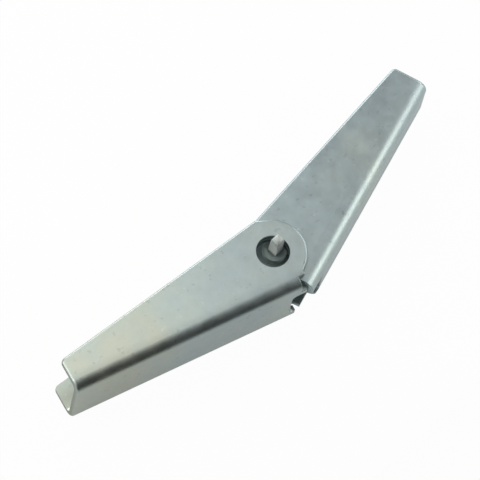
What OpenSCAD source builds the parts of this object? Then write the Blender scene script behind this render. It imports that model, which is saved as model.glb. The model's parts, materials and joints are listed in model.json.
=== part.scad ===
// Head of a spring toggle bolt: two pressed steel wings that hinge on a
// threaded trunnion nut and are held open by a torsion spring.
//
// The origin is the middle of the nut's thread. +Y runs along the thread towards
// the screw's head, +X towards the inner wing's tip, and Z along the pivot.
// The head lies on its side, on the outer wing's lower ear and flange.

/* [Sheet metal] */
// Thickness of the pressed sheet
sheet_t = 0.9; // [0.7:0.05:1.1]
// Outside radius of the long folds
fold_r = 1.7; // [1.4:0.1:2]
// Gap between the ears of the two wings
side_gap = 0.2; // [0.1:0.05:0.3]
// Gap between other faces that pass each other
close_gap = 0.1; // [0.05:0.01:0.15]

/* [Wings] */
// Length of each wing, from the pivot axis to its tip
wing_l = 35; // [28:0.5:45]
// Outside width of the outer wing, across its ears
wing_w = 11.2; // [10.6:0.1:14]
// Angle by which each open wing rises from the cross line
open_a = 17; // [12:0.5:22]
// Distance from the pivot axis to the outside of the outer wing's web
web_d = 6.5; // [6.2:0.1:8]
// Height of the outer wing's flanges at the tip
tip_h = 5.2; // [3.5:0.1:6]
// Height of the inner wing's flanges at the tip
inner_tip_h = 5.6; // [3.5:0.1:6]
// Height of the outer wing's free edges above the pivot axis
shoulder_h = 5.4; // [5:0.1:6]
// Radius of the flanges' corners at the tip
tip_corner_r = 0.8; // [0.3:0.1:1.5]
// Distance by which the outer wing's front prong runs past the pivot axis
outer_prong_u = 2.4; // [1.8:0.1:2.6]
// Distance by which the outer wing's front fold is shorter than that prong
fold_step = 1; // [0.9:0.1:1.3]
// Distance from the pivot axis, away from the outer wing, at which its rear prong ends
outer_rear_u = 1.2; // [1:0.1:1.8]
// Distance along the inner wing, from the pivot axis, at which its rear prong ends
inner_rear_u = 1.1; // [0.6:0.1:1.4]
// Height of the cut under the inner wing's rear ear, past that prong
inner_rear_cut = 1.3; // [1.1:0.1:2.4]

/* [Ears] */
// Radius of the outer wing's ears
ear_r = 5; // [4.6:0.1:5.4]
// Diameter of the round holes that the nut's lugs turn in
hole_d = 4.8; // [4.7:0.1:5.4]

/* [Nut] */
// Diameter of the thread's tapping hole
tap_d = 3.3; // [2.8:0.1:3.8]
// Widest diameter of the countersinks at the thread's mouths
sink_d = 4.4; // [4:0.1:4.8]
// Depth of each countersink
sink_h = 0.5; // [0.2:0.05:0.8]
// Diameter of the nut's barrel
barrel_d = 6.4; // [6:0.1:7]
// Length of the barrel along the pivot
barrel_w = 4.2; // [4:0.1:4.6]
// Distance between the flats that the thread opens through
flats_w = 5.8; // [5.2:0.1:6]
// Diameter of the necks beside the barrel
neck_d = 3.6; // [3.2:0.1:4]
// Side of the square lugs at their roots
lug_s = 1.5; // [1.2:0.05:1.5]
// Side of the lugs at their rounded ends
lug_end_s = 1.4; // [0.9:0.05:1.45]
// Height of the front lug above the outer ear
lug_proud = 1.9; // [0.5:0.1:2.5]
// Distance of the rear lug's end inside the outer ear's face
lug_inset = 0.15; // [0.05:0.05:0.4]
// Sideways distance of the nut from the pivot axis, as its lugs lean in the holes
lean_x = 1.2; // [0:0.05:1.25]
// Distance of the nut from the pivot axis towards the screw's head
lean_y = 0.45; // [0:0.05:0.5]

/* [Bolt passage] */
// Diameter of the bolt that the passage lets through
bolt_d = 4; // [3:0.5:4.5]
// Clearance round the bolt where it passes the webs
bolt_gap = 0.2; // [0.15:0.05:0.4]
// Extra depth of the notches, past the bolt
notch_extra = 0.8; // [0.7:0.1:2]
// Extra height of the notches towards the rear
notch_rear = 1; // [0:0.1:1.1]
// Radius of the notches' inside corners
notch_corner_r = 0.8; // [0.5:0.1:1]

/* [Torsion spring] */
// Diameter of the spring wire
wire_d = 0.65; // [0.5:0.05:0.65]
// Distance along each wing at which the spring's leg rests on the web
leg_u = 13; // [8:0.5:20]
// Gap between the wire and what it rests on
wire_gap = 0.04; // [0.02:0.01:0.08]

/* [Hidden] */
$fn = 96;
corner_steps = 8;
// Past the outer wing's rear prong, its ear is flat at this share of its radius
ear_flat = 0.95;
wire_sides = 10;
turn_steps = 36;
over = 1;
pivot = [-lean_x, -lean_y];
outer_h = wing_w / 2;
inner_w = wing_w - 2 * sheet_t - 2 * side_gap;
inner_h = inner_w / 2;
// The inner wing's ears just clear the inside of the outer wing's folds, and
// its web closes over the outside of the outer wing's web.
fold_middle_z = outer_h - fold_r;
inner_ear_r = web_d - fold_r - close_gap
    + sqrt(pow(fold_r - sheet_t, 2) - pow(max(0, inner_h - fold_middle_z), 2));
inner_web_d = web_d + sheet_t + close_gap;
// The inner wing's front prong ends where it meets the outer wing's: that is
// the stop of both wings when they are open.
inner_prong_u = ((inner_web_d - sheet_t) * sin(2 * open_a) - outer_prong_u - close_gap) / cos(2 * open_a);
neck_end = inner_h - sheet_t - close_gap;
// Half the height of the passage that the bolt takes through the webs
notch_h = bolt_d / 2 + bolt_gap;
// Distance, along each web and from the pivot axis, at which the bolt is cleared
outer_notch_u = notch_reach(bolt_gap + bolt_d / 2 - lean_x, web_d) + notch_extra;
inner_notch_u = notch_reach(bolt_gap + bolt_d / 2 + lean_x, inner_web_d) + notch_extra;
// The spring's coil turns about the pivot axis, wide enough to go round the leaning neck
coil_r = norm(pivot) + neck_d / 2 + close_gap + wire_d / 2;
outer_leg_z = -neck_end + wire_gap + wire_d / 2;
inner_leg_z = -barrel_w / 2 - wire_gap - wire_d / 2;

zinc = "silver";
zinc_shade = "lightsteelblue";
bright_steel = "gainsboro";
spring_steel = "slategray";

// How far along a web, d away from the pivot axis, lies the cross distance x
function notch_reach(x, d) = (x - d * sin(open_a)) / cos(open_a);

function unit(v) = v / norm(v);

// Section across a wing, with the web at x = -d and the flanges towards +x
module folded_section(d, h, depth, r) {
    translate([-d, -h + r]) square([depth, 2 * h - 2 * r]);
    translate([-d + r, -h]) square([depth - r, 2 * h]);
    for (side = [-1, 1])
        translate([-d + r, side * (h - r)]) circle(r);
}

// A wing's outline from the side: a round ear that runs out into a tapered arm
module side_outline(d, r, crown_h, tip, prong) {
    taper_a = atan((crown_h + d - tip) / wing_l);
    // Centre of the rounded corner where the free edge meets the tip
    corner = [wing_l - tip_corner_r, -d + tip + tip_corner_r * (tan(taper_a) - 1 / cos(taper_a))];
    // Where the free edge runs into the ear, a hair inside its rim
    drop_a = 90 + acos(min(1, r / crown_h));
    drop_r = 0.998 * r;
    polygon(concat(
        [[-prong, -d], [wing_l, -d]],
        [for (i = [0:corner_steps])
            let (a = (90 - taper_a) * i / corner_steps)
            corner + tip_corner_r * [cos(a), sin(a)]],
        [[0, crown_h], drop_r * [cos(drop_a), sin(drop_a)], [-prong, 0]]
    ));
    circle(r);
}

// One wing along +X from the pivot axis, folded from one sheet, with a hole
// through both ears and a notch that leaves two prongs at the web's end. The
// rear prong ends at rear_u, with a cut of height rear_cut under the ear.
module wing(d, h, r, crown_h, tip, prong, rear_u, rear_cut, notch_u) {
    depth = d + max(crown_h, r) + over;
    difference() {
        intersection() {
            translate([0, 0, -h]) linear_extrude(2 * h) side_outline(d, r, crown_h, tip, prong);
            translate([-r - over, 0, 0]) rotate([90, 0, 90]) linear_extrude(wing_l + r + 2 * over)
                difference() {
                    folded_section(d, h, depth, fold_r);
                    folded_section(d - sheet_t, h - sheet_t, depth, fold_r - sheet_t);
                }
        }
        translate([0, 0, -h - over]) cylinder(h = 2 * h + 2 * over, d = hole_d);
        bolt_notch(d, notch_u, prong);
        translate([-prong - over, -d - over, -h - over])
            cube([prong + over + rear_u, rear_cut + over, h + over]);
    }
}

// Notch with round inside corners in the web's pivot end, wider towards the rear
module bolt_notch(d, notch_u, prong) {
    middle_u = notch_u - notch_corner_r;
    rear_z = -notch_h - notch_rear;
    translate([0, -d + sheet_t + over / 2, 0]) rotate([90, 0, 0]) linear_extrude(sheet_t + over)
        polygon(concat(
            [[-prong - over, rear_z]],
            [for (i = [0:corner_steps])
                let (a = 90 * i / corner_steps)
                [middle_u + notch_corner_r * sin(a), rear_z + notch_corner_r * (1 - cos(a))]],
            [for (i = [0:corner_steps])
                let (a = 90 * i / corner_steps)
                [middle_u + notch_corner_r * cos(a), notch_h - notch_corner_r * (1 - sin(a))]],
            [[-prong - over, notch_h]]
        ));
}

module outer_wing() {
    color(zinc) translate(pivot) mirror([1, 0, 0]) rotate(open_a) difference() {
        wing(web_d, outer_h, ear_r, shoulder_h, tip_h, outer_prong_u, -outer_rear_u,
            web_d - ear_flat * ear_r, outer_notch_u);
        // Past the fold, the front prong is narrow enough to go between the inner wing's flanges
        translate([-outer_prong_u - over, -web_d - over, neck_end - side_gap - close_gap])
            cube([fold_step + over, web_d - ear_r + over, outer_h]);
    }
}

module inner_wing() {
    color(zinc_shade) translate(pivot) rotate(open_a)
        wing(inner_web_d, inner_h, inner_ear_r, inner_ear_r, inner_tip_h, inner_prong_u, inner_rear_u,
            inner_rear_cut, inner_notch_u);
}

module trunnion_nut() {
    color(bright_steel) difference() {
        union() {
            intersection() {
                cylinder(h = barrel_w, d = barrel_d, center = true);
                cube([barrel_d + over, flats_w, barrel_w + over], center = true);
            }
            cylinder(h = 2 * neck_end, d = neck_d, center = true);
            lug(outer_h + lug_proud);
            mirror([0, 0, 1]) lug(outer_h - lug_inset);
        }
        rotate([90, 0, 0]) cylinder(h = flats_w + over, d = tap_d, center = true);
        for (side = [-1, 1])
            rotate([side * 90, 0, 0]) translate([0, 0, flats_w / 2 - sink_h])
                cylinder(h = sink_h + over, d1 = tap_d, d2 = sink_d + over * (sink_d - tap_d) / sink_h);
    }
}

// Square lug that tapers from the neck to a rounded end at end_z
module lug(end_z) {
    intersection() {
        translate([-lug_s / 2, 0, 0]) rotate([90, 0, 90]) linear_extrude(lug_s) lug_section(end_z);
        translate([0, lug_s / 2, 0]) rotate([90, 0, 0]) linear_extrude(lug_s) lug_section(end_z);
    }
}

module lug_section(end_z) {
    root_z = barrel_w / 2 - close_gap;
    round_z = end_z - lug_end_s / 2;
    polygon([
        [-lug_s / 2, root_z],
        [lug_s / 2, root_z],
        [lug_s / 2, neck_end],
        [lug_end_s / 2, round_z],
        [-lug_end_s / 2, round_z],
        [-lug_s / 2, neck_end]
    ]);
    translate([0, round_z]) circle(lug_end_s / 2);
}

// Where a leg rests on its web: side is -1 for the outer wing and 1 for the inner wing
function leg_rest(side, d) = [
    side * (leg_u * cos(open_a) + (d - sheet_t - wire_gap - wire_d / 2) * sin(open_a)),
    leg_u * sin(open_a) - (d - sheet_t - wire_gap - wire_d / 2) * cos(open_a)
];

// Angle on the coil at which a leg that ends at p leaves it
function leave_a(side, p) = atan2(p[1], p[0]) - side * acos(coil_r / norm(p));

function coil_point(a, z) = [coil_r * cos(a), coil_r * sin(a), z];

outer_rest = leg_rest(-1, web_d);
inner_rest = leg_rest(1, inner_web_d);
outer_a = leave_a(-1, outer_rest);
inner_a = leave_a(1, inner_rest) + 360;
wind_a = inner_a + (outer_a < 0 ? 0 : 360) - outer_a;
wire_path = concat(
    [[outer_rest[0], outer_rest[1], outer_leg_z]],
    [for (i = [0:turn_steps])
        let (part = i / turn_steps)
        coil_point(outer_a + wind_a * part, outer_leg_z + (inner_leg_z - outer_leg_z) * part)],
    [[inner_rest[0], inner_rest[1], inner_leg_z]]
);

// Direction of the wire at one of its points
function wire_way(i) = unit(
    (i < len(wire_path) - 1 ? unit(wire_path[i + 1] - wire_path[i]) : [0, 0, 0])
    + (i > 0 ? unit(wire_path[i] - wire_path[i - 1]) : [0, 0, 0])
);

// One ring of the wire's skin, in the plane across the wire
function wire_ring(i) = let (
    way = wire_way(i),
    side = unit(cross([0, 0, 1], way)),
    up = cross(way, side)
) [for (k = [0:wire_sides - 1])
    wire_path[i] + wire_d / 2 * (side * cos(360 * k / wire_sides) + up * sin(360 * k / wire_sides))];

module torsion_spring() {
    rings = len(wire_path);
    last = (rings - 1) * wire_sides;
    color(spring_steel) translate(pivot) polyhedron(
        points = [for (i = [0:rings - 1]) each wire_ring(i)],
        faces = concat(
            [[for (k = [0:wire_sides - 1]) k]],
            [for (i = [0:rings - 2], k = [0:wire_sides - 1])
                let (a = i * wire_sides, n = (k + 1) % wire_sides)
                [a + k, a + wire_sides + k, a + wire_sides + n, a + n]],
            [[for (k = [wire_sides - 1:-1:0]) last + k]]
        )
    );
}

outer_wing();
inner_wing();
trunnion_nut();
torsion_spring();
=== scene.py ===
import json
import math

import bmesh
import bpy
from mathutils import Matrix, Vector


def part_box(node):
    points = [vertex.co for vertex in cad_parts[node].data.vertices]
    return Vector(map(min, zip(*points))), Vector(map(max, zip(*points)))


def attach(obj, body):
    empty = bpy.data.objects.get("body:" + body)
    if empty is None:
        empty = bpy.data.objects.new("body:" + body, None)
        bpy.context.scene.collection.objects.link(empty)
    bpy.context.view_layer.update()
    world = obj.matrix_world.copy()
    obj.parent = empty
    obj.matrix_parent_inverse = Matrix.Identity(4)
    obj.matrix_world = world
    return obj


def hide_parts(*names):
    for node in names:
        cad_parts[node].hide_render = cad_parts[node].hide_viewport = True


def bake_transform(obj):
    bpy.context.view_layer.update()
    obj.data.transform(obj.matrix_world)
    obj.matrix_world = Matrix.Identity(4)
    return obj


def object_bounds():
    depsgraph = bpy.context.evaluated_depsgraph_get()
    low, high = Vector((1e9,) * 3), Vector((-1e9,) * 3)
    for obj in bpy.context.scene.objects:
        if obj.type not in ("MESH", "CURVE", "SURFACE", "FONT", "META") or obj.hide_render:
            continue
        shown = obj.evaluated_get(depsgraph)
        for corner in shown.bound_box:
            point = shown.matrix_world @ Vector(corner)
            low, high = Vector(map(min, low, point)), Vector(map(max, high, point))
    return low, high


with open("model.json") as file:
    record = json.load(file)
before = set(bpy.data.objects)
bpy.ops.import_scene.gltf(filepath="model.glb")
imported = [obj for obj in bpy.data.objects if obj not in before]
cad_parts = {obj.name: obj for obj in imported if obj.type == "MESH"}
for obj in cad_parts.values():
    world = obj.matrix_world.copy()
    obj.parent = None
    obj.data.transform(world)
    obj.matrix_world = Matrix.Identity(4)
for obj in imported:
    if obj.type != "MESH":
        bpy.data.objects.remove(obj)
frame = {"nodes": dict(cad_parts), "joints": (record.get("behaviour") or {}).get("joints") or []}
CAD_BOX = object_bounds()

bl_info = {
    "name": "Spring Toggle Head",
    "version": (1, 0, 0),
    "blender": (4, 5, 0),
    "location": "View3D > Sidebar > Toggle",
    "description": "Finishes a spring toggle's pressed wings, trunnion nut and torsion spring",
    "category": "Object",
}

MM = 0.001
# Both wings turn on one axis, through this point
PIVOT = Vector(next(joint["pos_m"] for joint in frame["joints"] if joint["child"] == "outer_wing"))
FLOOR_Z = CAD_BOX[0][2]
# Distance from the middle of the head to about each tip
REACH = 35 * MM
# Two points count as one within this distance
TOUCH = 0.01 * MM
# The web has a shorter run-out than the flanges, and turns less over it
WEB_RUN_OUT = 0.7
WEB_RUN_OUT_TURN = 0.3
# Edges that turn more than this are cut edges of a wing, or rims of the nut
CUT_EDGE = math.radians(35)
NUT_RIM = math.radians(60)
# How nearly two directions agree, as a cosine, where the skin shades a face and where two
# faces shade as one
SKIN_AGREES = 0.8
FACES_AGREE = 0.75
# A whole nut with its thread has far more faces than this, and a failed cut leaves fewer
FEWEST_NUT_FACES = 500
# The soft lights: name, place, aim, size, brightness and colour
SOFTBOXES = (
    ("overhead_softbox", (-0.084, 0.070, 0.09), (-0.084, 0.070, 0), (0.22, 0.14), 0.93, "FFFCF2"),
    ("side_softbox", (0.20, -0.235, 0.14), (0.01, 0, 0), (0.14, 0.20), 2.3, "FFFDF5"),
    ("back_softbox", (0.135, 0.255, 0.07), (0, 0, 0), (0.165, 0.14), 3.2, "FFFFFF"),
    ("right_softbox", (0.245, -0.01, 0.12), (0, 0, 0), (0.14, 0.10), 3.0, "FFFFFF"),
    ("left_softbox", (-0.22, 0.20, 0.13), (0, 0, 0), (0.16, 0.16), 2.6, "FFFFFF"),
)


# ---------------------------------------------------------------- settings


class WingSettings(bpy.types.PropertyGroup):
    """Sizes of the two pressed wings that their edges are finished from"""

    open_angle: bpy.props.FloatProperty(
        name="Open angle", description="Rise of each open wing from the cross line",
        default=math.radians(17), subtype="ANGLE")
    sheet: bpy.props.FloatProperty(
        name="Sheet", description="Thickness of the pressed sheet",
        default=0.9 * MM, precision=5, unit="LENGTH")
    fold_radius: bpy.props.FloatProperty(
        name="Fold radius", description="Outside radius of the long folds",
        default=1.7 * MM, precision=5, unit="LENGTH")
    run_out: bpy.props.FloatProperty(
        name="Run-out", description="Distance over which the flanges start to turn before each fold",
        default=1.3 * MM, precision=5, unit="LENGTH")
    run_out_angle: bpy.props.FloatProperty(
        name="Run-out angle", description="How far a flange has turned where its fold starts",
        default=math.radians(7), subtype="ANGLE")
    outer_web: bpy.props.FloatProperty(
        name="Outer web",
        description="Distance from the pivot axis to the outside of the outer wing's web",
        default=6.5 * MM, precision=5, unit="LENGTH")
    inner_web: bpy.props.FloatProperty(
        name="Inner web",
        description="Distance from the pivot axis to the outside of the inner wing's web",
        default=7.5 * MM, precision=5, unit="LENGTH")
    die_roll: bpy.props.FloatProperty(
        name="Die roll", description="Radius that the press leaves along the outside of each cut edge",
        default=0.42 * MM, precision=5, unit="LENGTH")
    crisp_roll: bpy.props.FloatProperty(
        name="Crisp edges", description="Radius of the cut edges in the holes and at the webs' ends",
        default=0.1 * MM, precision=5, unit="LENGTH")
    web_end: bpy.props.FloatProperty(
        name="Web end", description="Distance along each wing within which the end of its web is cut",
        default=3.0 * MM, precision=5, unit="LENGTH")
    hole: bpy.props.FloatProperty(
        name="Hole", description="Diameter of the holes in the ears",
        default=4.8 * MM, precision=5, unit="LENGTH")
    burr_break: bpy.props.FloatProperty(
        name="Burr break", description="Width of the tumbled burr along the inside of each cut edge",
        default=0.07 * MM, precision=5, unit="LENGTH")


class NutSettings(bpy.types.PropertyGroup):
    """Sizes of the trunnion nut's thread and edges"""

    thread_major: bpy.props.FloatProperty(
        name="Thread diameter", description="Major diameter of the screw thread",
        default=4.0 * MM, precision=5, unit="LENGTH")
    thread_pitch: bpy.props.FloatProperty(
        name="Pitch", description="Pitch of the screw thread",
        default=0.7 * MM, precision=5, unit="LENGTH")
    thread_length: bpy.props.FloatProperty(
        name="Thread length", description="Length that the thread is cut over, past both ends of the bore",
        default=7.0 * MM, precision=5, unit="LENGTH")
    edge_round: bpy.props.FloatProperty(
        name="Edge round", description="Radius that tumbling leaves on the necks and the lugs",
        default=0.1 * MM, precision=5, unit="LENGTH")
    neck_end: bpy.props.FloatProperty(
        name="Neck end", description="Distance from the middle of the nut to the end of each neck",
        default=3.5 * MM, precision=5, unit="LENGTH")
    # The cropped end is darkened with painted shade
    cropped_end: bpy.props.FloatProperty(
        name="Cropped end", description="Length of the front lug's cropped end, which is duller",
        default=0.6 * MM, precision=5, unit="LENGTH")


class SpringSettings(bpy.types.PropertyGroup):
    """Sizes of the torsion spring"""

    wire: bpy.props.FloatProperty(
        name="Wire", description="Diameter of the spring wire",
        default=0.65 * MM, precision=5, unit="LENGTH")
    coil_radius: bpy.props.FloatProperty(
        name="Coil radius", description="Mean radius of the coil about the pivot axis",
        default=3.507 * MM, precision=5, unit="LENGTH")
    outer_leg_z: bpy.props.FloatProperty(
        name="Outer leg level", description="Height of the leg that opens the outer wing",
        default=-3.135 * MM, precision=5, unit="LENGTH")
    inner_leg_z: bpy.props.FloatProperty(
        name="Inner leg level", description="Height of the leg that opens the inner wing",
        default=-2.465 * MM, precision=5, unit="LENGTH")
    leg_reach: bpy.props.FloatProperty(
        name="Leg reach", description="Distance along each wing at which the leg rests on the web",
        default=13.0 * MM, precision=5, unit="LENGTH")
    wire_gap: bpy.props.FloatProperty(
        name="Wire gap", description="Gap between a leg's end and the web that it rests on",
        default=0.04 * MM, precision=5, unit="LENGTH")


class FinishSettings(bpy.types.PropertyGroup):
    """Colours of the metals"""

    zinc: bpy.props.StringProperty(
        name="Zinc plate", description="Colour of the bright zinc plate on the wings, sRGB hex",
        default="BECBC9")
    zinc_warm: bpy.props.StringProperty(
        name="Warm passivation", description="Faint straw tint of the plate's passivation film",
        default="C5CBC0")
    zinc_cool: bpy.props.StringProperty(
        name="Cool passivation", description="Faint blue tint of the plate's passivation film",
        default="B7C6C9")
    nut_steel: bpy.props.StringProperty(
        name="Nut steel", description="Colour of the plated, turned nut", default="EEF4F2")
    wire_steel: bpy.props.StringProperty(
        name="Spring wire", description="Colour of the drawn spring wire", default="8B9094")


class StageSettings(bpy.types.PropertyGroup):
    """The camera, the floor and the soft lights"""

    lens: bpy.props.FloatProperty(
        name="Lens", description="Focal length of the camera on a 36 mm sensor, in millimetres",
        default=524.6, unit="CAMERA")
    camera_at: bpy.props.FloatVectorProperty(
        name="Camera position", description="Where the camera stands", size=3,
        default=(-0.35691, -0.20015, 0.90856), precision=5, subtype="TRANSLATION")
    camera_right: bpy.props.FloatVectorProperty(
        name="Camera right", description="Direction of the view's right side", size=3,
        default=(0.69287, -0.71260, 0.11015), subtype="DIRECTION")
    camera_up: bpy.props.FloatVectorProperty(
        name="Camera up", description="Direction of the view's top", size=3,
        default=(0.62663, 0.67064, 0.39696), subtype="DIRECTION")
    floor: bpy.props.StringProperty(
        name="Floor", description="Colour of the paper floor", default="DADCDA")
    floor_glow: bpy.props.FloatProperty(
        name="Floor glow", description="Share of the paper's look that is an even white",
        default=0.97, min=0, max=1, subtype="FACTOR")
    floor_mirrored: bpy.props.FloatProperty(
        name="Floor mirrored", description="Share of the paper's reflection that is an even white",
        default=0.38, min=0, max=1, subtype="FACTOR")
    fill: bpy.props.FloatProperty(
        name="Fill", description="Brightness of the room around the soft lights",
        default=0.46, min=0, max=1, subtype="FACTOR")
    card: bpy.props.StringProperty(
        name="Black card", description="Colour of the card that darkens one side of the reflections",
        default="202224")


# ---------------------------------------------------------------- helpers


def linear(hex_colour):
    """An sRGB hex colour as linear RGBA."""
    parts = [int(hex_colour[i:i + 2], 16) / 255 for i in (0, 2, 4)]
    return [c / 12.92 if c <= 0.04045 else ((c + 0.055) / 1.055) ** 2.4 for c in parts] + [1.0]


def add_node(tree, kind, settings=None, **inputs):
    """Adds a shader node. An input is a value, or the socket that feeds it. It is called by its
    name, with underscores for spaces, or by an underscore and its number."""
    made = tree.nodes.new(kind)
    for name, value in (settings or {}).items():
        setattr(made, name, value)
    for name, value in inputs.items():
        key = int(name[1:]) if name[1:].isdigit() else name.replace("_", " ")
        socket = made.inputs[key]
        if isinstance(value, bpy.types.NodeSocket):
            tree.links.new(value, socket)
        else:
            socket.default_value = value
    return made


def colour_steps(made, *steps):
    """Sets a colour ramp's steps, each a position and a colour or a grey level."""
    ramp = made.color_ramp
    while len(ramp.elements) > 1:
        ramp.elements.remove(ramp.elements[-1])
    for i, (place, level) in enumerate(steps):
        step = ramp.elements[0] if i == 0 else ramp.elements.new(place)
        step.position = place
        step.color = level if isinstance(level, (list, tuple)) else (level, level, level, 1)
    return made


def material_of(name):
    """A new material's tree with its shader and output."""
    made = bpy.data.materials.new(name)
    made.use_nodes = True
    tree = made.node_tree
    tree.nodes.clear()
    shader = add_node(tree, "ShaderNodeBsdfPrincipled")
    output = add_node(tree, "ShaderNodeOutputMaterial", Surface=shader.outputs["BSDF"])
    return made, tree, shader, output


def film_colour(tree, place, base, finish, warmth):
    """The plate's colour under its passivation film, in patches about 12 mm across. Warmth
    is how much straw tint the film has at the left end and at the right end of the head."""
    film = add_node(
        tree, "ShaderNodeTexNoise", Vector=place, Scale=1 / (11.76 * MM), Detail=3.0, Roughness=0.55)
    axes = add_node(tree, "ShaderNodeSeparateXYZ", Vector=place)
    lean = add_node(
        tree, "ShaderNodeMapRange", Value=axes.outputs["X"], From_Min=-REACH, From_Max=REACH,
        To_Min=warmth[0], To_Max=warmth[1])
    mood = add_node(
        tree, "ShaderNodeMath", {"operation": "ADD"}, _0=film.outputs["Fac"], _1=lean.outputs["Result"])
    tint = colour_steps(
        add_node(tree, "ShaderNodeValToRGB", Fac=mood.outputs[0]),
        (0.30, linear(finish.zinc_cool)), (0.50, linear(base)), (0.72, linear(finish.zinc_warm)))
    return tint.outputs["Color"]


def handled(tree, place, colour):
    """A colour with handling marks: dull specks and pale rubs, both up to about 0.8 mm wide."""
    specks = add_node(
        tree, "ShaderNodeTexNoise", Vector=place, Scale=1 / (0.8696 * MM), Detail=2.0, Roughness=0.5)
    dull = colour_steps(
        add_node(tree, "ShaderNodeValToRGB", Fac=specks.outputs["Fac"]), (0.65, 1.0), (0.71, 0.86))
    specked = add_node(
        tree, "ShaderNodeMix", {"data_type": "RGBA", "blend_type": "MULTIPLY"},
        _0=1.0, _6=colour, _7=dull.outputs["Color"])
    rubs = add_node(
        tree, "ShaderNodeTexNoise", Vector=place, Scale=1 / (0.7692 * MM), Detail=6.0, Roughness=0.7)
    pale = colour_steps(
        add_node(tree, "ShaderNodeValToRGB", Fac=rubs.outputs["Fac"]), (0.62, 0.0), (0.72, 1.0))
    rubbed = add_node(
        tree, "ShaderNodeMix", {"data_type": "RGBA", "blend_type": "SCREEN"},
        _0=pale.outputs["Color"], _6=specked.outputs[2], _7=(0.30, 0.31, 0.30, 1))
    return rubbed.outputs[2]


def painted_recess_shade(tree, place, colour, shaded_below):
    """A colour darkened with painted shade on the inner skin out to about 10 mm from the pivot,
    and wherever the height over or under the middle is less than the height given."""
    axes = add_node(tree, "ShaderNodeSeparateXYZ", Vector=place)
    height = add_node(tree, "ShaderNodeMath", {"operation": "ABSOLUTE"}, _0=axes.outputs["Z"])
    middle = add_node(
        tree, "ShaderNodeMapRange", Value=height.outputs[0],
        From_Min=shaded_below - 0.5 * MM, From_Max=shaded_below,
        To_Min=0.85 if shaded_below else 0.0, To_Max=0.0)
    off_pivot = add_node(tree, "ShaderNodeVectorMath", {"operation": "DISTANCE"}, _0=place, _1=PIVOT)
    near = add_node(
        tree, "ShaderNodeMapRange", Value=off_pivot.outputs["Value"],
        From_Min=7 * MM, From_Max=12 * MM, To_Min=0.48, To_Max=0.0)
    # The inner skin near the pivot takes painted shade, darkest closest to it
    inner_skin = add_node(tree, "ShaderNodeAttribute", {"attribute_name": "inside"})
    shade_share = add_node(
        tree, "ShaderNodeMath", {"operation": "MULTIPLY_ADD", "use_clamp": True},
        _0=near.outputs["Result"], _1=inner_skin.outputs["Fac"], _2=middle.outputs["Result"])
    dark = add_node(
        tree, "ShaderNodeMix", {"data_type": "RGBA", "blend_type": "MULTIPLY"},
        _0=shade_share.outputs[0], _6=colour, _7=(0.21, 0.262, 0.26, 1))
    return dark.outputs[2]


def hair_scratches(tree, place):
    """Where hair scratches lie: grain at three angles, stretched along each. Tumbling leaves
    them a few hundredths of a millimetre wide. They are drawn about 0.1 mm wide, to show."""
    hair = None
    for turn, width in ((0.35, 0.1111 * MM), (1.3, 0.1316 * MM), (2.35, 0.119 * MM)):
        lay = add_node(
            tree, "ShaderNodeMapping", Vector=place, Rotation=(0.0, 0.0, turn), Scale=(0.045, 1.0, 1.0))
        grain = add_node(
            tree, "ShaderNodeTexNoise", Vector=lay.outputs["Vector"], Scale=1 / width, Detail=1.0)
        line = colour_steps(
            add_node(tree, "ShaderNodeValToRGB", Fac=grain.outputs["Fac"]), (0.66, 0.0), (0.76, 1.0))
        if hair is None:
            hair = line.outputs["Color"]
        else:
            both = add_node(
                tree, "ShaderNodeMath", {"operation": "MAXIMUM"}, _0=hair, _1=line.outputs["Color"])
            hair = both.outputs[0]
    return hair


def plate_relief(tree, place, hair, scratch_depth):
    """The plate's surface: faint waves about 4 mm across, grain and scratches. The steel's own
    grain is finer, and is drawn about 0.1 mm wide, to show."""
    dents = add_node(
        tree, "ShaderNodeTexNoise", Vector=place, Scale=1 / (4.167 * MM), Detail=2.0, Roughness=0.45)
    waves = add_node(
        tree, "ShaderNodeBump", Strength=0.35, Distance=0.06 * MM, Height=dents.outputs["Fac"])
    grit = add_node(tree, "ShaderNodeTexNoise", Vector=place, Scale=1 / (0.1111 * MM), Detail=2.0)
    grained = add_node(
        tree, "ShaderNodeBump", Strength=0.12, Distance=0.01 * MM, Height=grit.outputs["Fac"],
        Normal=waves.outputs["Normal"])
    scratched = add_node(
        tree, "ShaderNodeBump", {"invert": True}, Strength=scratch_depth, Distance=0.012 * MM,
        Height=hair, Normal=grained.outputs["Normal"])
    return scratched.outputs["Normal"]


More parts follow.
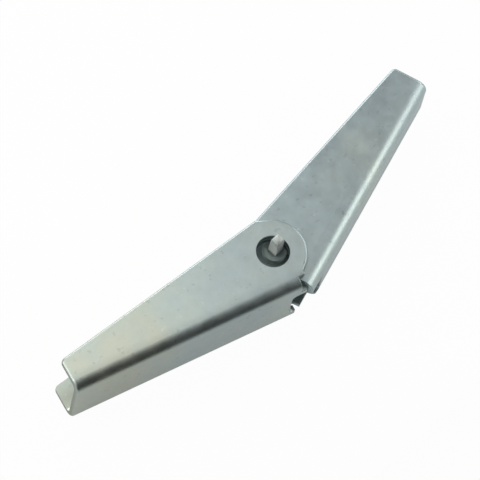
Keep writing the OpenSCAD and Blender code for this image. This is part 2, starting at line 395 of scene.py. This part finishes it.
def zinc_plate(name, base, finish, roughness, scratch_depth, warmth, shaded_below=0.0, metallic=1.0):
    """Bright zinc plate on pressed or turned steel: satin, with a faint straw and blue film,
    cloudy patches of gloss and hair scratches from tumbling. A mesh attribute marks the cut
    edges, which are rougher and darkened with painted shade, and its "inside" attribute marks
    the inner skin, which takes painted shade near the pivot. A plate dulled by long tumbling is
    a little less metallic."""
    made, tree, shader, _ = material_of(name)
    place = add_node(tree, "ShaderNodeTexCoord").outputs["Object"]
    tint = film_colour(tree, place, base, finish, warmth)
    # Cloudy plating: patches about 2 mm across
    cloud = add_node(
        tree, "ShaderNodeTexNoise", Vector=place, Scale=1 / (1.923 * MM), Detail=5.0, Roughness=0.6)
    shade = colour_steps(
        add_node(tree, "ShaderNodeValToRGB", Fac=cloud.outputs["Fac"]), (0.28, 0.88), (0.72, 1.0))
    clouded = add_node(
        tree, "ShaderNodeMix", {"data_type": "RGBA", "blend_type": "MULTIPLY"},
        _0=1.0, _6=tint, _7=shade.outputs["Color"])
    # Painted shade on the cut edges, darkest in the holes; the same mark also makes them rougher
    tear_and_shade_level = add_node(tree, "ShaderNodeAttribute", {"attribute_name": "torn_and_shaded"}).outputs["Fac"]
    edged = add_node(
        tree, "ShaderNodeMix", {"data_type": "RGBA", "blend_type": "MULTIPLY"},
        _0=tear_and_shade_level, _6=handled(tree, place, clouded.outputs[2]), _7=(0.33, 0.36, 0.36, 1))
    tree.links.new(painted_recess_shade(tree, place, edged.outputs[2], shaded_below), shader.inputs["Base Color"])
    hair = hair_scratches(tree, place)
    gloss = add_node(
        tree, "ShaderNodeMapRange", Value=cloud.outputs["Fac"], From_Min=0.25, From_Max=0.75,
        To_Min=roughness - 0.05, To_Max=roughness + 0.06)
    dulled = add_node(
        tree, "ShaderNodeMath", {"operation": "MULTIPLY_ADD"}, _0=hair, _1=0.08, _2=gloss.outputs["Result"])
    rough = add_node(
        tree, "ShaderNodeMath", {"operation": "MULTIPLY_ADD"}, _0=tear_and_shade_level, _1=0.12, _2=dulled.outputs[0])
    tree.links.new(rough.outputs[0], shader.inputs["Roughness"])
    tree.links.new(plate_relief(tree, place, hair, scratch_depth), shader.inputs["Normal"])
    shader.inputs["Metallic"].default_value = metallic
    return made


def drawn_wire(name, base):
    """Hard-drawn spring wire: dark, with gloss that is mottled over about 1 mm, and the die's
    fine grain, which give it a silky shine. The grain is drawn 0.08 mm wide, to show."""
    made, tree, shader, _ = material_of(name)
    place = add_node(tree, "ShaderNodeTexCoord").outputs["Object"]
    cloud = add_node(tree, "ShaderNodeTexNoise", Vector=place, Scale=1 / (1.111 * MM), Detail=4.0)
    bright = linear(base)
    dull = [c * 0.8 for c in bright[:3]] + [1.0]
    shade = colour_steps(
        add_node(tree, "ShaderNodeValToRGB", Fac=cloud.outputs["Fac"]), (0.3, dull), (0.7, bright))
    tree.links.new(shade.outputs["Color"], shader.inputs["Base Color"])
    gloss = add_node(
        tree, "ShaderNodeMapRange", Value=cloud.outputs["Fac"], From_Min=0.3, From_Max=0.7,
        To_Min=0.26, To_Max=0.38)
    tree.links.new(gloss.outputs["Result"], shader.inputs["Roughness"])
    grain = add_node(tree, "ShaderNodeTexNoise", Vector=place, Scale=1 / (0.0833 * MM), Detail=1.0)
    bump = add_node(
        tree, "ShaderNodeBump", Strength=0.15, Distance=0.01 * MM, Height=grain.outputs["Fac"])
    tree.links.new(bump.outputs["Normal"], shader.inputs["Normal"])
    shader.inputs["Metallic"].default_value = 1.0
    return made


def scene_object(name, bm, material=None):
    """Turns a finished bmesh into an object of the scene."""
    mesh = bpy.data.meshes.new(name)
    bm.to_mesh(mesh)
    bm.free()
    if material:
        mesh.materials.append(material)
    made = bpy.data.objects.new(name, mesh)
    bpy.context.scene.collection.objects.link(made)
    return made


def piece(name, bm, material, body, replaced=()):
    """Turns a finished bmesh into a piece that rides on a body, or that is still to be
    blended between two. It stands for the nodes that it replaces."""
    made = scene_object(name, bm, material)
    if body:
        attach(made, body)
    for node in replaced:
        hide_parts(node)
    return made


def merged_copy(node, across, middle):
    """A bmesh of a frame node with its triangles joined into whole faces. A seam through
    the middle, at right angles to the given way, keeps every face free of holes."""
    bm = bmesh.new()
    bm.from_mesh(frame["nodes"][node].data)
    bmesh.ops.remove_doubles(bm, verts=bm.verts, dist=1e-7)
    cut = bmesh.ops.bisect_plane(
        bm, geom=[*bm.verts, *bm.edges, *bm.faces], dist=1e-8, plane_co=middle, plane_no=across)
    for part in cut["geom_cut"]:
        if isinstance(part, bmesh.types.BMEdge):
            part.seam = True
    bmesh.ops.dissolve_limit(bm, angle_limit=0.01, verts=bm.verts, edges=bm.edges, delimit={"SEAM"})
    return bm


def bevel(bm, edges, width, segments):
    """Rounds edges, if there are any, and joins the points that end up together."""
    if edges:
        bmesh.ops.bevel(
            bm, geom=edges, offset=width, offset_type="OFFSET", affect="EDGES", segments=segments,
            profile=0.5, material=-1, clamp_overlap=False, loop_slide=True)
        bmesh.ops.remove_doubles(bm, verts=bm.verts, dist=2e-6)


def smooth(bm):
    """Shades every face smooth."""
    for face in bm.faces:
        face.smooth = True


# ---------------------------------------------------------------- wings


def wing_frame(side, angle):
    """Turns a point of the part into a wing's own frame: along the wing, away from its web,
    and along the pivot."""
    turn = Matrix.Rotation(-angle, 4, "Z")
    flip = Matrix.Scale(side, 4, (1, 0, 0))
    return turn @ flip @ Matrix.Translation(-PIVOT)


def skin_depth(point, web, half_height, fold_radius):
    """How deep a point of a wing's own frame lies under the outside of its folded section."""
    over_web = point.y + web
    under_flange = half_height - abs(point.z)
    if over_web > fold_radius:
        return under_flange
    if under_flange > fold_radius:
        return over_web
    return fold_radius - math.hypot(over_web - fold_radius, under_flange - fold_radius)


def skin_normal(point, web, half_height, settings):
    """The outward direction of the folded section nearest to a point of a wing's own frame.
    The sheet starts to turn a little before its fold and ends a little after it."""
    over_web = point.y + web - settings.fold_radius
    under_flange = half_height - abs(point.z) - settings.fold_radius
    early = settings.run_out_angle
    late = settings.run_out_angle * WEB_RUN_OUT_TURN
    if over_web >= 0:
        turn = early * max(0, 1 - over_web / settings.run_out)
    elif under_flange >= 0:
        turn = math.pi / 2 - late * max(0, 1 - under_flange / (settings.run_out * WEB_RUN_OUT))
    else:
        turn = early + math.atan2(-over_web, -under_flange) * (1 - (early + late) / (math.pi / 2))
    return Vector((0, -math.sin(turn), math.copysign(math.cos(turn), point.z)))


def is_crisp(point, web, settings):
    """Whether a point of a cut edge lies in a hole or at the web's end, where edges are crisp."""
    at_hole = math.hypot(point.x, point.y) < settings.hole / 2 + 2 * TOUCH
    over_fold = 0.6 * MM
    at_web = point.y < settings.fold_radius - web + over_fold
    return at_hole or (at_web and point.x < settings.web_end)


def tear_and_shade(point, depth, web, settings):
    """How rough and how darkened with painted shade a cut edge is at a point: 0 on the skin and
    the burr break, up to 1 in a hole, 0 on other crisp edges, and up to 0.6 elsewhere."""
    if depth >= settings.sheet - TOUCH:
        return 0
    tear_and_shade_level = min(max(depth / settings.die_roll, 0), 1)
    # A hole's wall gets the full painted shade
    if math.hypot(point.x, point.y) < settings.hole / 2 + settings.crisp_roll:
        return math.ceil(tear_and_shade_level)
    return 0 if is_crisp(point, web, settings) else tear_and_shade_level * 0.6


def follow_skin(mesh, to_wing, web, half_height, settings):
    """Sets the normals so that the pressed skin reflects as one smooth sheet right up to its
    rolled edges. Marks how much each point of a cut edge is roughened and darkened with painted
    shade, and which points are on the inner skin."""
    turn_to_part = to_wing.to_3x3().inverted()
    inner_quarter = settings.sheet * 0.75
    torn_and_shaded = mesh.attributes.new("torn_and_shaded", "FLOAT", "POINT")
    inside = mesh.attributes.new("inside", "FLOAT", "POINT")
    skin = []
    neighbours = [[] for _ in mesh.vertices]
    for face in mesh.polygons:
        for v in face.vertices:
            neighbours[v].append(face)
    for v in mesh.vertices:
        point = to_wing @ v.co
        depth = skin_depth(point, web, half_height, settings.fold_radius)
        on_skin = min(abs(depth), abs(depth - settings.sheet)) < TOUCH
        torn_and_shaded.data[v.index].value = tear_and_shade(point, depth, web, settings)
        inside.data[v.index].value = 1 if depth > inner_quarter else 0
        outward = turn_to_part @ skin_normal(point, web, half_height, settings)
        skin.append(outward if on_skin else None)
    normals = []
    for face in mesh.polygons:
        for v in face.vertices:
            if skin[v] is not None and abs(skin[v].dot(face.normal)) > SKIN_AGREES:
                normals.append(skin[v] * math.copysign(1, skin[v].dot(face.normal)))
                continue
            near = [f for f in neighbours[v] if f.normal.dot(face.normal) > FACES_AGREE]
            normals.append(sum((f.normal * f.area for f in near), Vector()).normalized())
    mesh.normals_split_custom_set(normals)


def make_wing(node, name, side, web, material):
    """A wing's piece: a copy of its node, with the skin's cut edges rolled, the burrs broken on
    the other side, and the skin shaded as one sheet."""
    settings = bpy.context.scene.toggle_wing
    half_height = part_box(node)[1][2]
    to_wing = wing_frame(side, settings.open_angle)
    to_part = to_wing.inverted()
    turn_to_part = to_part.to_3x3()
    bm = merged_copy(node, turn_to_part @ Vector((0, 1, 0)), PIVOT)

    # Lines at which the sheet starts to turn into its folds
    flange_start = settings.fold_radius + settings.run_out - web
    web_start = half_height - settings.fold_radius - settings.run_out * WEB_RUN_OUT
    for place, across in (
            ((0, flange_start, 0), (0, 1, 0)),
            ((0, 0, web_start), (0, 0, 1)),
            ((0, 0, -web_start), (0, 0, 1))):
        bmesh.ops.bisect_plane(
            bm, geom=[*bm.verts, *bm.edges, *bm.faces], dist=1e-8,
            plane_co=to_part @ Vector(place), plane_no=turn_to_part @ Vector(across))

    def cut_edges(depth, crisp=None):
        """Edges of the cut faces that lie at one depth under the skin: all of them, or only
        those that are crisp or that aren't."""
        found = []
        for edge in bm.edges:
            if len(edge.link_faces) != 2 or edge.calc_face_angle(0) < CUT_EDGE:
                continue
            points = [to_wing @ v.co for v in edge.verts]
            depths = [skin_depth(point, web, half_height, settings.fold_radius) for point in points]
            is_in = crisp is None or crisp == any(is_crisp(point, web, settings) for point in points)
            if is_in and all(abs(d - depth) < 3 * TOUCH for d in depths):
                found.append(edge)
        return found

    bevel(bm, cut_edges(0.0, crisp=False), settings.die_roll, 5)
    bevel(bm, cut_edges(0.0, crisp=True), settings.crisp_roll, 2)
    bevel(bm, cut_edges(settings.sheet), settings.burr_break, 2)
    smooth(bm)
    made = piece(name, bm, material, node, [node])
    follow_skin(made.data, to_wing, web, half_height, settings)


class TOGGLE_OT_outer_wing(bpy.types.Operator):
    """Finish the outer wing: rolled outside edges, broken burrs and zinc plate"""

    bl_idname = "toggle.outer_wing"
    bl_label = "Outer Wing"

    def execute(self, context):
        settings = context.scene.toggle_wing
        finish = context.scene.toggle_finish
        plate = zinc_plate(
            "bright_zinc_plate_outer", finish.zinc, finish,
            roughness=0.40, scratch_depth=0.22, warmth=(0.16, -0.30))
        make_wing("outer_wing", "outer_wing_pressing", -1, settings.outer_web, plate)
        return {"FINISHED"}


class TOGGLE_OT_inner_wing(bpy.types.Operator):
    """Finish the inner wing: rolled outside edges, broken burrs and zinc plate"""

    bl_idname = "toggle.inner_wing"
    bl_label = "Inner Wing"

    def execute(self, context):
        settings = context.scene.toggle_wing
        finish = context.scene.toggle_finish
        plate = zinc_plate(
            "bright_zinc_plate_inner", finish.zinc, finish,
            roughness=0.40, scratch_depth=0.22, warmth=(-0.2, -0.2))
        make_wing("inner_wing", "inner_wing_pressing", 1, settings.inner_web, plate)
        return {"FINISHED"}


# ---------------------------------------------------------------- nut


def thread_cutter(major, pitch, length):
    """A screw's thread ridge along Y, as a closed solid that cuts the nut's groove. The ridge
    has a 60 degree section that starts within the bore, where it is narrower than the pitch."""
    bm = bmesh.new()
    foot = 0.36 * major
    half_width = (major / 2 - foot) * math.tan(math.radians(30))
    start_y = -length / 2
    section = ((foot, start_y - half_width, 0), (foot, start_y + half_width, 0), (major / 2, start_y, 0))
    face = bm.faces.new([bm.verts.new(corner) for corner in section])
    turns = length / pitch
    steps_a_turn = 36
    steps = round(turns * steps_a_turn)
    bmesh.ops.spin(
        bm, geom=[face], cent=(0, 0, 0), axis=(0, 1, 0), dvec=(0, length / steps, 0),
        angle=turns * 2 * math.pi, steps=steps, use_merge=False)
    bmesh.ops.remove_doubles(bm, verts=bm.verts, dist=1e-8)
    bmesh.ops.recalc_face_normals(bm, faces=bm.faces)
    return bm


class TOGGLE_OT_nut(bpy.types.Operator):
    """Cut the screw thread into the trunnion nut and round its edges"""

    bl_idname = "toggle.nut"
    bl_label = "Trunnion Nut"

    def execute(self, context):
        settings = context.scene.toggle_nut
        finish = context.scene.toggle_finish
        # Painted shade darkens the nut up to just past the ends of its necks, which sit down in the ears'
        # holes
        plate = zinc_plate(
            "bright_zinc_plate_nut", finish.nut_steel, finish,
            roughness=0.50, scratch_depth=0.3, warmth=(0, 0),
            shaded_below=settings.neck_end + 0.5 * MM, metallic=0.65)
        bm = merged_copy("trunnion_nut", (1, 0, 0), (0, 0, 0))
        rims = [
            e for e in bm.edges
            if e.is_convex and e.calc_face_angle(0) > NUT_RIM
            and all(abs(v.co.z) > settings.neck_end - TOUCH for v in e.verts)]
        bevel(bm, rims, settings.edge_round, 3)
        # The front lug's cropped end is darkened with painted shade, and made a little rougher
        tear_and_shade_level = bm.verts.layers.float.new("torn_and_shaded")
        top = max(v.co.z for v in bm.verts)
        for vert in bm.verts:
            vert[tear_and_shade_level] = 0.5 if vert.co.z > top - settings.cropped_end else 0.0
        smooth(bm)
        made = piece("trunnion_nut_threaded", bm, plate, "nut", ["trunnion_nut"])
        cutter = scene_object(
            "thread_cutter",
            thread_cutter(settings.thread_major, settings.thread_pitch, settings.thread_length))
        cut = made.modifiers.new("Thread", "BOOLEAN")
        cut.operation = "DIFFERENCE"
        cut.solver = "EXACT"
        cut.object = cutter
        context.view_layer.update()
        with_thread = made.evaluated_get(context.evaluated_depsgraph_get())
        threaded = bpy.data.meshes.new_from_object(with_thread)
        if len(threaded.polygons) < FEWEST_NUT_FACES:
            raise RuntimeError("The thread's cut left no nut")
        made.modifiers.clear()
        made.data = threaded
        bpy.data.objects.remove(cutter)
        made.modifiers.new("Even faces", "WEIGHTED_NORMAL").keep_sharp = True
        return {"FINISHED"}


# ---------------------------------------------------------------- spring


def rest_point(side, web, settings, wings):
    """Where a leg's end rests on its web, seen from the pivot axis."""
    lift = web - wings.sheet - settings.wire_gap - settings.wire / 2
    angle = wings.open_angle
    return Vector((
        side * (settings.leg_reach * math.cos(angle) + lift * math.sin(angle)),
        settings.leg_reach * math.sin(angle) - lift * math.cos(angle), 0))


def leave_angle(side, point, coil_radius):
    """Angle on the coil at which the leg to a point leaves it."""
    return math.atan2(point.y, point.x) - side * math.acos(coil_radius / point.length)


def make_spring_half(name, leg_angle, turn, leg_length, leg_z, middle_z, material):
    """One leg and half of the coil, from a circle that is spun round the pivot, and pulled out
    along the leg."""
    settings = bpy.context.scene.toggle_spring
    radius = settings.coil_radius
    bm = bmesh.new()
    stand = (
        Matrix.Rotation(leg_angle, 4, "Z")
        @ Matrix.Translation((radius, 0, leg_z))
        @ Matrix.Rotation(math.radians(90), 4, "X"))
    bmesh.ops.create_circle(bm, cap_ends=False, segments=20, radius=settings.wire / 2, matrix=stand)
    start = list(bm.edges)
    coil_steps = 48
    spun = bmesh.ops.spin(
        bm, geom=start, cent=(0, 0, 0), axis=(0, 0, 1), dvec=(0, 0, (middle_z - leg_z) / coil_steps),
        angle=turn, steps=coil_steps, use_merge=False)
    middle = [e for e in spun["geom_last"] if isinstance(e, bmesh.types.BMEdge)]
    bmesh.ops.contextual_create(bm, geom=middle)
    along = Vector((-math.sin(leg_angle), math.cos(leg_angle), 0)) * -math.copysign(1, turn)
    end = start
    leg_steps = 24
    for _ in range(leg_steps):
        pulled = bmesh.ops.extrude_edge_only(bm, edges=end)["geom"]
        verts = [v for v in pulled if isinstance(v, bmesh.types.BMVert)]
        bmesh.ops.translate(bm, verts=verts, vec=along * leg_length / leg_steps)
        end = [
            e for e in pulled
            if isinstance(e, bmesh.types.BMEdge) and all(v in verts for v in e.verts)]
    cap = bmesh.ops.contextual_create(bm, geom=end)["faces"]
    bmesh.ops.recalc_face_normals(bm, faces=bm.faces)
    end_round = settings.wire * 0.18
    bevel(bm, [e for f in cap for e in f.edges], end_round, 3)
    bmesh.ops.translate(bm, verts=bm.verts, vec=PIVOT)
    smooth(bm)
    made = piece(name, bm, material, None)
    made.modifiers.new("Even faces", "WEIGHTED_NORMAL").keep_sharp = True
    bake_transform(made)
    return made


class TOGGLE_OT_spring(bpy.types.Operator):
    """Wind the torsion spring: one turn round the nut's neck and a leg along each web"""

    bl_idname = "toggle.spring"
    bl_label = "Torsion Spring"

    def execute(self, context):
        settings = context.scene.toggle_spring
        wings = context.scene.toggle_wing
        finish = context.scene.toggle_finish
        wire = drawn_wire("drawn_spring_wire", finish.wire_steel)
        radius = settings.coil_radius
        outer_rest = rest_point(-1, wings.outer_web, settings, wings)
        inner_rest = rest_point(1, wings.inner_web, settings, wings)
        outer_angle = leave_angle(-1, outer_rest, radius)
        inner_angle = leave_angle(1, inner_rest, radius) + 2 * math.pi
        # The coil still makes its whole turn if the outer leg's angle has wrapped round
        if outer_angle > 0:
            inner_angle += 2 * math.pi
        half_turn = (inner_angle - outer_angle) / 2
        middle_z = (settings.outer_leg_z + settings.inner_leg_z) / 2
        halves = [
            make_spring_half(
                "torsion_spring_outer_half", outer_angle, half_turn,
                math.sqrt(outer_rest.length_squared - radius ** 2), settings.outer_leg_z, middle_z, wire),
            make_spring_half(
                "torsion_spring_inner_half", inner_angle, -half_turn,
                math.sqrt(inner_rest.length_squared - radius ** 2), settings.inner_leg_z, middle_z, wire),
        ]
        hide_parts("torsion_spring")
        return {"FINISHED"}


# ---------------------------------------------------------------- stage


def add_softbox(name, at, aim, size, brightness, colour):
    """A soft rectangular light that stands at one point and faces another. Its brightness is
    that of a white wall at 1."""
    lamp = bpy.data.lights.new(name, "AREA")
    lamp.shape = "RECTANGLE"
    lamp.size, lamp.size_y = size
    lamp.energy = brightness * math.pi * size[0] * size[1]
    lamp.color = linear(colour)[:3]
    made = bpy.data.objects.new(name, lamp)
    bpy.context.scene.collection.objects.link(made)
    made.location = at
    made.rotation_euler = (Vector(aim) - Vector(at)).to_track_quat("-Z", "Y").to_euler()
    made.visible_camera = False


def add_paper_floor(settings):
    """Matt, seamless white paper just under the part. Its grain is too fine to show. Most of
    what the camera sees is an even white, with the part's soft shadow faintly on it."""
    paper, tree, shader, output = material_of("white_paper")
    shader.inputs["Base Color"].default_value = linear(settings.floor)
    shader.inputs["Roughness"].default_value = 0.9
    glow = add_node(tree, "ShaderNodeEmission", Color=(1, 1, 1, 1), Strength=1.0)
    rays = add_node(tree, "ShaderNodeLightPath")
    clear = add_node(
        tree, "ShaderNodeMath", {"operation": "MULTIPLY"},
        _0=rays.outputs["Is Transmission Ray"], _1=settings.floor_glow)
    mirrored = add_node(
        tree, "ShaderNodeMath", {"operation": "MULTIPLY_ADD"},
        _0=rays.outputs["Is Glossy Ray"], _1=settings.floor_mirrored, _2=clear.outputs[0])
    lit = add_node(
        tree, "ShaderNodeMath", {"operation": "MULTIPLY_ADD", "use_clamp": True},
        _0=rays.outputs["Is Camera Ray"], _1=settings.floor_glow, _2=mirrored.outputs[0])
    mixed = add_node(
        tree, "ShaderNodeMixShader",
        _0=lit.outputs[0], _1=shader.outputs["BSDF"], _2=glow.outputs["Emission"])
    tree.links.new(mixed.outputs["Shader"], output.inputs["Surface"])
    bm = bmesh.new()
    bmesh.ops.create_grid(bm, x_segments=1, y_segments=1, size=0.6)
    bmesh.ops.translate(bm, verts=bm.verts, vec=(0, 0, FLOOR_Z - 2 * TOUCH))
    floor = scene_object("paper_floor", bm, paper)


def add_room(settings):
    """An even white room: at full brightness where it is seen, and dimmer where it lights."""
    world = bpy.data.worlds.new("studio")
    bpy.context.scene.world = world
    world.use_nodes = True
    tree = world.node_tree
    tree.nodes.clear()
    rays = add_node(tree, "ShaderNodeLightPath")
    seen = add_node(
        tree, "ShaderNodeMath", {"operation": "MAXIMUM"},
        _0=rays.outputs["Is Camera Ray"], _1=rays.outputs["Is Transmission Ray"])
    strength = add_node(
        tree, "ShaderNodeMapRange", Value=seen.outputs[0], From_Min=0.0, From_Max=1.0,
        To_Min=settings.fill, To_Max=1.0)
    back = add_node(
        tree, "ShaderNodeBackground", Color=(1, 1, 1, 1), Strength=strength.outputs["Result"])
    add_node(tree, "ShaderNodeOutputWorld", Surface=back.outputs["Background"])


def add_black_card(settings):
    """A black card that stands on the floor, out of the camera's sight. The folds that are
    turned towards it mirror it as a dark line."""
    paint, _, shader, _ = material_of("black_card")
    shader.inputs["Base Color"].default_value = linear(settings.card)
    shader.inputs["Roughness"].default_value = 0.8
    left, right, behind, height = -0.10, 0.012, -0.032, 0.085
    bm = bmesh.new()
    upright = (
        Matrix.Translation(((left + right) / 2, behind, FLOOR_Z + height / 2))
        @ Matrix.Rotation(math.radians(90), 4, "X")
        @ Matrix.Diagonal(((right - left) / 2, height / 2, 1, 1)))
    bmesh.ops.create_grid(bm, x_segments=1, y_segments=1, size=1, matrix=upright)
    card = scene_object("black_card", bm, paint)
    card.visible_camera = False


def add_camera(settings):
    """The camera, which looks square to the right and up directions of its settings."""
    camera = bpy.data.cameras.new("camera")
    camera.sensor_width = 36
    camera.lens = settings.lens
    camera.clip_end = 10
    made = bpy.data.objects.new("camera", camera)
    bpy.context.scene.collection.objects.link(made)
    right = Vector(settings.camera_right).normalized()
    up = Vector(settings.camera_up)
    up = (up - right * up.dot(right)).normalized()
    turn = Matrix((right, up, right.cross(up))).transposed().to_4x4()
    made.matrix_world = Matrix.Translation(settings.camera_at) @ turn
    bpy.context.scene.camera = made


class TOGGLE_OT_stage(bpy.types.Operator):
    """Set the paper floor, the soft lights and the camera"""

    bl_idname = "toggle.stage"
    bl_label = "Stage"

    def execute(self, context):
        settings = context.scene.toggle_stage
        context.scene.view_settings.view_transform = "Standard"
        add_paper_floor(settings)
        add_room(settings)
        for softbox in SOFTBOXES:
            add_softbox(*softbox)
        add_black_card(settings)
        add_camera(settings)
        return {"FINISHED"}


# ---------------------------------------------------------------- panel


class TOGGLE_PT_panel(bpy.types.Panel):
    """Lists the toggle's pieces and their sizes"""

    bl_idname = "TOGGLE_PT_panel"
    bl_label = "Spring Toggle Head"
    bl_space_type = "VIEW_3D"
    bl_region_type = "UI"
    bl_category = "Toggle"

    def draw(self, context):
        layout = self.layout
        scene = context.scene
        for operator in OPERATORS:
            layout.operator(operator.bl_idname)
        for pointer in POINTERS:
            settings = getattr(scene, pointer)
            box = layout.box()
            for name in settings.__annotations__:
                box.prop(settings, name)


OPERATORS = (
    TOGGLE_OT_stage, TOGGLE_OT_outer_wing, TOGGLE_OT_inner_wing, TOGGLE_OT_nut, TOGGLE_OT_spring)
POINTERS = {
    "toggle_wing": WingSettings,
    "toggle_nut": NutSettings,
    "toggle_spring": SpringSettings,
    "toggle_finish": FinishSettings,
    "toggle_stage": StageSettings,
}
CLASSES = (*POINTERS.values(), *OPERATORS, TOGGLE_PT_panel)


def register():
    """Registers the classes, and gives the scene their settings."""
    for cls in CLASSES:
        bpy.utils.register_class(cls)
    for name, group in POINTERS.items():
        setattr(bpy.types.Scene, name, bpy.props.PointerProperty(type=group))


def unregister():
    """Takes the settings off the scene, and the classes off Blender."""
    for name in POINTERS:
        delattr(bpy.types.Scene, name)
    for cls in reversed(CLASSES):
        bpy.utils.unregister_class(cls)


def main():
    """Builds every piece and the stage."""
    register()
    bpy.ops.toggle.stage()
    bpy.ops.toggle.outer_wing()
    bpy.ops.toggle.inner_wing()
    bpy.ops.toggle.nut()
    bpy.ops.toggle.spring()


if __name__ == "__main__":
    main()
